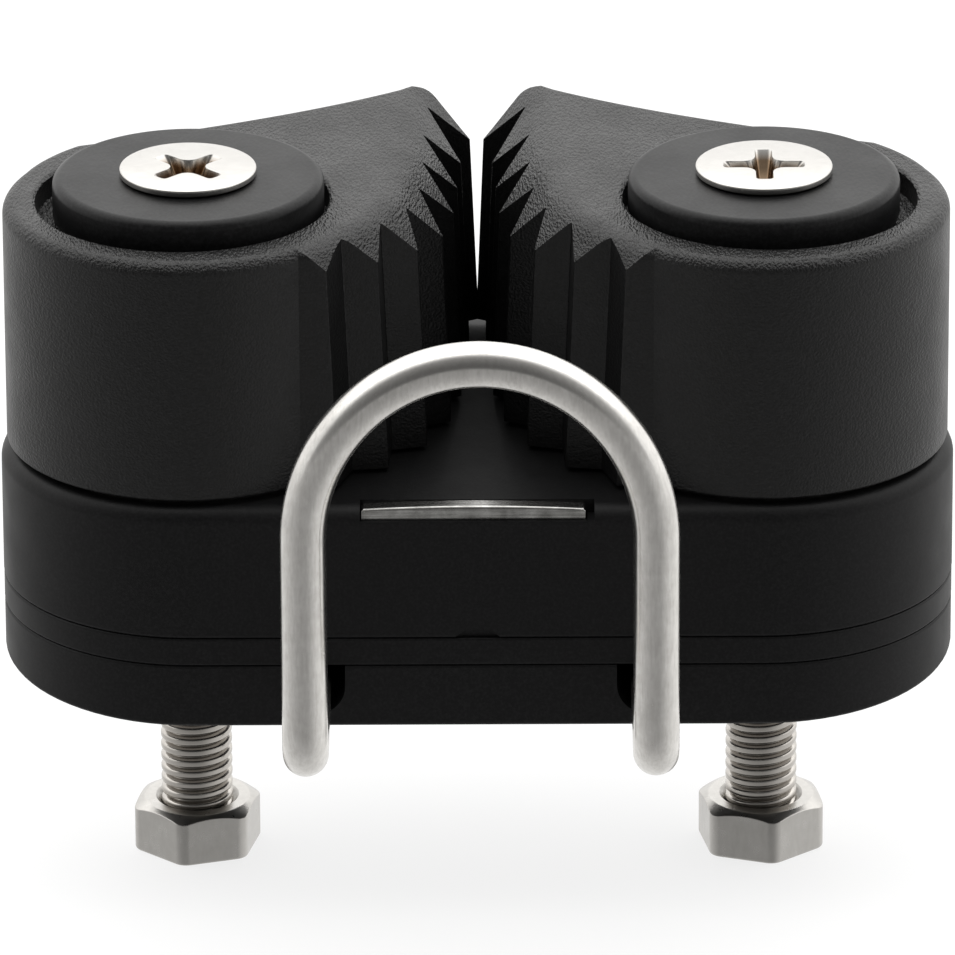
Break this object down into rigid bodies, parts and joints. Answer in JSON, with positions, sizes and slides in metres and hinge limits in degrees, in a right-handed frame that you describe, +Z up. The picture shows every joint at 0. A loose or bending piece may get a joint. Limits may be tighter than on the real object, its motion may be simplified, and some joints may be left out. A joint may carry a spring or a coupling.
{
  "type": "cam cleat",
  "caption": "Two-cam rope cleat on a tapered riser: toothed sprung cams over a steel wear strip, a bent wire fairlead in front, and long countersunk screws with hex nuts.",
  "frame": {"origin": "middle of the riser's underside, on the line between the two screws, where it meets the deck", "axes": "+Z up along the cam pivots and screws, +X from the left screw to the right one, +Y away from the fairlead, the way the rope is hauled in; the deck face leans 3.75 degrees about X"},
  "size_m": [0.0634, 0.0484, 0.0488],
  "materials": {
    "riser_nylon": "black nylon moulding, fine satin texture",
    "spacer_nylon": "black nylon moulding, smooth satin",
    "base_nylon": "black nylon moulding, fine satin texture",
    "cam_nylon": "black glass-filled nylon, fine grained top and satin flanks",
    "cap_nylon": "black nylon, smooth satin",
    "acetal": "natural acetal, smooth",
    "wear_strip_steel": "stainless strip, rubbed",
    "wire_steel": "stainless wire, satin, faint drawing marks",
    "fastener_steel": "stainless, lightly polished",
    "sleeve_steel": "stainless tube, turned ends",
    "spring_steel": "spring steel wire"
  },
  "bodies": {
    "cleat_body": {"riser_pad": "riser_nylon", "spacer_plate": "spacer_nylon", "base": "base_nylon", "wear_strip": "wear_strip_steel", "wire_fairlead": "wire_steel", "cap_left": "cap_nylon", "cap_right": "cap_nylon", "bush_left": "acetal", "bush_right": "acetal", "sleeve_left": "sleeve_steel", "sleeve_right": "sleeve_steel", "thrust_washer_left": "acetal", "thrust_washer_right": "acetal", "spring_left": "spring_steel", "spring_right": "spring_steel", "screw_left": "fastener_steel", "screw_right": "fastener_steel", "nut_left": "fastener_steel", "nut_right": "fastener_steel"},
    "cam_left_body": {"cam_left": "cam_nylon"},
    "cam_right_body": {"cam_right": "cam_nylon"}
  },
  "joints": [
    {"name": "cam_left_hinge", "type": "hinge", "parent": "cleat_body", "child": "cam_left_body", "pos_m": [-0.019, 0, 0.0234], "axis": [0, 0, 1], "range_deg": [0, 52], "stiffness_Nm_per_rad": 0.012, "springref_deg": -45.84, "deforming": ["spring_left"]},
    {"name": "cam_right_hinge", "type": "hinge", "parent": "cleat_body", "child": "cam_right_body", "pos_m": [0.019, 0, 0.0234], "axis": [0, 0, -1], "range_deg": [0, 52], "stiffness_Nm_per_rad": 0.012, "springref_deg": -45.84, "deforming": ["spring_right"]}
  ]
}
